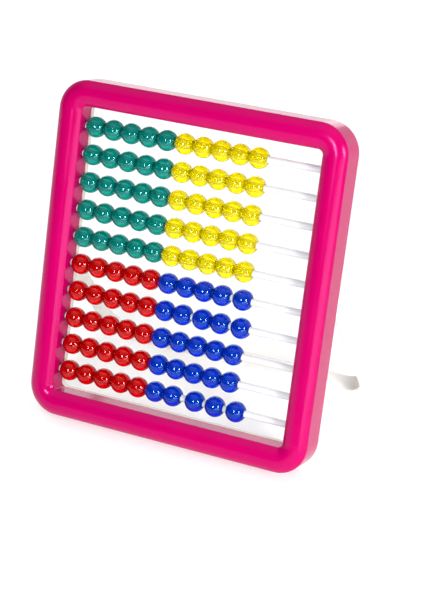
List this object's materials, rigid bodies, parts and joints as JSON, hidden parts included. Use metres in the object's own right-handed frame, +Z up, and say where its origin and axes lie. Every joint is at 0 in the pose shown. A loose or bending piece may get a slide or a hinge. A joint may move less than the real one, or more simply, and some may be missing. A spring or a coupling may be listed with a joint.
{
  "type": "counting abacus",
  "caption": "Child's counting abacus: rows of sliding round beads on straight rods in a rounded two-part frame that leans back on a fold-out stand.",
  "frame": {"origin": "on the floor, at the middle of the box around the abacus as it stands open", "axes": "+X to the viewer's right along the rods, +Y to the rear, +Z up"},
  "size_m": [0.174, 0.108, 0.1891],
  "materials": {
    "pink_shell": "glossy injection moulding with light scuffs",
    "white_moulding": "glossy off-white injection moulding",
    "rod_plastic": "smooth white plastic rod",
    "green_bead": "clear tinted moulded plastic, polished",
    "yellow_bead": "clear tinted moulded plastic, polished",
    "red_bead": "clear tinted moulded plastic, polished",
    "blue_bead": "clear tinted moulded plastic, polished",
    "screw_steel": "zinc-plated steel"
  },
  "bodies": {
    "frame": {"front_shell": "pink_shell", "back_frame": "white_moulding", "screws": "screw_steel", "rod_1": "rod_plastic", "rod_2": "rod_plastic", "rod_3": "rod_plastic", "rod_4": "rod_plastic", "rod_5": "rod_plastic", "rod_6": "rod_plastic", "rod_7": "rod_plastic", "rod_8": "rod_plastic", "rod_9": "rod_plastic", "rod_10": "rod_plastic"},
    "stand": {"stand": "white_moulding"},
    "row_1_left": {"row_1_green_beads_1": "green_bead"},
    "row_1_right": {"row_1_yellow_beads_2": "yellow_bead"},
    "row_2_left": {"row_2_green_beads_1": "green_bead"},
    "row_2_right": {"row_2_yellow_beads_2": "yellow_bead"},
    "row_3_left": {"row_3_green_beads_1": "green_bead"},
    "row_3_right": {"row_3_yellow_beads_2": "yellow_bead"},
    "row_4_left": {"row_4_green_beads_1": "green_bead"},
    "row_4_right": {"row_4_yellow_beads_2": "yellow_bead"},
    "row_5_left": {"row_5_green_beads_1": "green_bead"},
    "row_5_right": {"row_5_yellow_beads_2": "yellow_bead"},
    "row_6_left": {"row_6_red_beads_1": "red_bead", "row_6_blue_beads_2": "blue_bead"},
    "row_6_right": {"row_6_blue_beads_3": "blue_bead"},
    "row_7_left": {"row_7_red_beads_1": "red_bead", "row_7_blue_beads_2": "blue_bead"},
    "row_7_middle": {"row_7_blue_beads_3": "blue_bead"},
    "row_7_right": {"row_7_blue_beads_4": "blue_bead"},
    "row_8_left": {"row_8_red_beads_1": "red_bead"},
    "row_8_right": {"row_8_blue_beads_2": "blue_bead"},
    "row_9_left": {"row_9_red_beads_1": "red_bead"},
    "row_9_right": {"row_9_blue_beads_2": "blue_bead"},
    "row_10_left": {"row_10_red_beads_1": "red_bead", "row_10_blue_beads_2": "blue_bead"},
    "row_10_middle_1": {"row_10_blue_beads_3": "blue_bead"},
    "row_10_middle_2": {"row_10_blue_beads_4": "blue_bead"},
    "row_10_right": {"row_10_blue_beads_5": "blue_bead"}
  },
  "joints": [
    {"name": "stand_hinge", "type": "hinge", "parent": "frame", "child": "stand", "pos_m": [0, -0.00185, 0.08465], "axis": [-1, 0, 0], "range_deg": [0, 51.2]},
    {"name": "row_1_left_slide", "type": "slide", "parent": "frame", "child": "row_1_left", "axis": [1, 0, 0], "range_m": [-0.00068, 0.03288]},
    {"name": "row_1_right_slide", "type": "slide", "parent": "row_1_left", "child": "row_1_right", "axis": [-1, 0, 0], "range_m": [-0.03288, 0]},
    {"name": "row_2_left_slide", "type": "slide", "parent": "frame", "child": "row_2_left", "axis": [1, 0, 0], "range_m": [-0.00068, 0.03288]},
    {"name": "row_2_right_slide", "type": "slide", "parent": "row_2_left", "child": "row_2_right", "axis": [-1, 0, 0], "range_m": [-0.03288, 0]},
    {"name": "row_3_left_slide", "type": "slide", "parent": "frame", "child": "row_3_left", "axis": [1, 0, 0], "range_m": [-0.00068, 0.03288]},
    {"name": "row_3_right_slide", "type": "slide", "parent": "row_3_left", "child": "row_3_right", "axis": [-1, 0, 0], "range_m": [-0.03288, 0]},
    {"name": "row_4_left_slide", "type": "slide", "parent": "frame", "child": "row_4_left", "axis": [1, 0, 0], "range_m": [-0.00068, 0.03288]},
    {"name": "row_4_right_slide", "type": "slide", "parent": "row_4_left", "child": "row_4_right", "axis": [-1, 0, 0], "range_m": [-0.03288, 0]},
    {"name": "row_5_left_slide", "type": "slide", "parent": "frame", "child": "row_5_left", "axis": [1, 0, 0], "range_m": [-0.00068, 0.03288]},
    {"name": "row_5_right_slide", "type": "slide", "parent": "row_5_left", "child": "row_5_right", "axis": [-1, 0, 0], "range_m": [-0.03288, 0]},
    {"name": "row_6_left_slide", "type": "slide", "parent": "frame", "child": "row_6_left", "axis": [1, 0, 0], "range_m": [-0.00068, 0.03148]},
    {"name": "row_6_right_slide", "type": "slide", "parent": "row_6_left", "child": "row_6_right", "axis": [-1, 0, 0], "range_m": [-0.03148, 0.0014]},
    {"name": "row_7_left_slide", "type": "slide", "parent": "frame", "child": "row_7_left", "axis": [1, 0, 0], "range_m": [-0.00068, 0.03048]},
    {"name": "row_7_middle_slide", "type": "slide", "parent": "row_7_left", "child": "row_7_middle", "axis": [-1, 0, 0], "range_m": [0, 0.0011]},
    {"name": "row_7_right_slide", "type": "slide", "parent": "row_7_middle", "child": "row_7_right", "axis": [-1, 0, 0], "range_m": [-0.03048, 0.0013]},
    {"name": "row_8_left_slide", "type": "slide", "parent": "frame", "child": "row_8_left", "axis": [1, 0, 0], "range_m": [-0.00068, 0.03288]},
    {"name": "row_8_right_slide", "type": "slide", "parent": "row_8_left", "child": "row_8_right", "axis": [-1, 0, 0], "range_m": [-0.03288, 0]},
    {"name": "row_9_left_slide", "type": "slide", "parent": "frame", "child": "row_9_left", "axis": [1, 0, 0], "range_m": [-0.00068, 0.03288]},
    {"name": "row_9_right_slide", "type": "slide", "parent": "row_9_left", "child": "row_9_right", "axis": [-1, 0, 0], "range_m": [-0.03288, 0]},
    {"name": "row_10_left_slide", "type": "slide", "parent": "frame", "child": "row_10_left", "axis": [1, 0, 0], "range_m": [-0.00068, 0.02708]},
    {"name": "row_10_middle_1_slide", "type": "slide", "parent": "row_10_left", "child": "row_10_middle_1", "axis": [-1, 0, 0], "range_m": [0, 0.0027]},
    {"name": "row_10_middle_2_slide", "type": "slide", "parent": "row_10_middle_1", "child": "row_10_middle_2", "axis": [-1, 0, 0], "range_m": [0, 0.0014]},
    {"name": "row_10_right_slide", "type": "slide", "parent": "row_10_middle_2", "child": "row_10_right", "axis": [-1, 0, 0], "range_m": [-0.02708, 0.0017]}
  ]
}
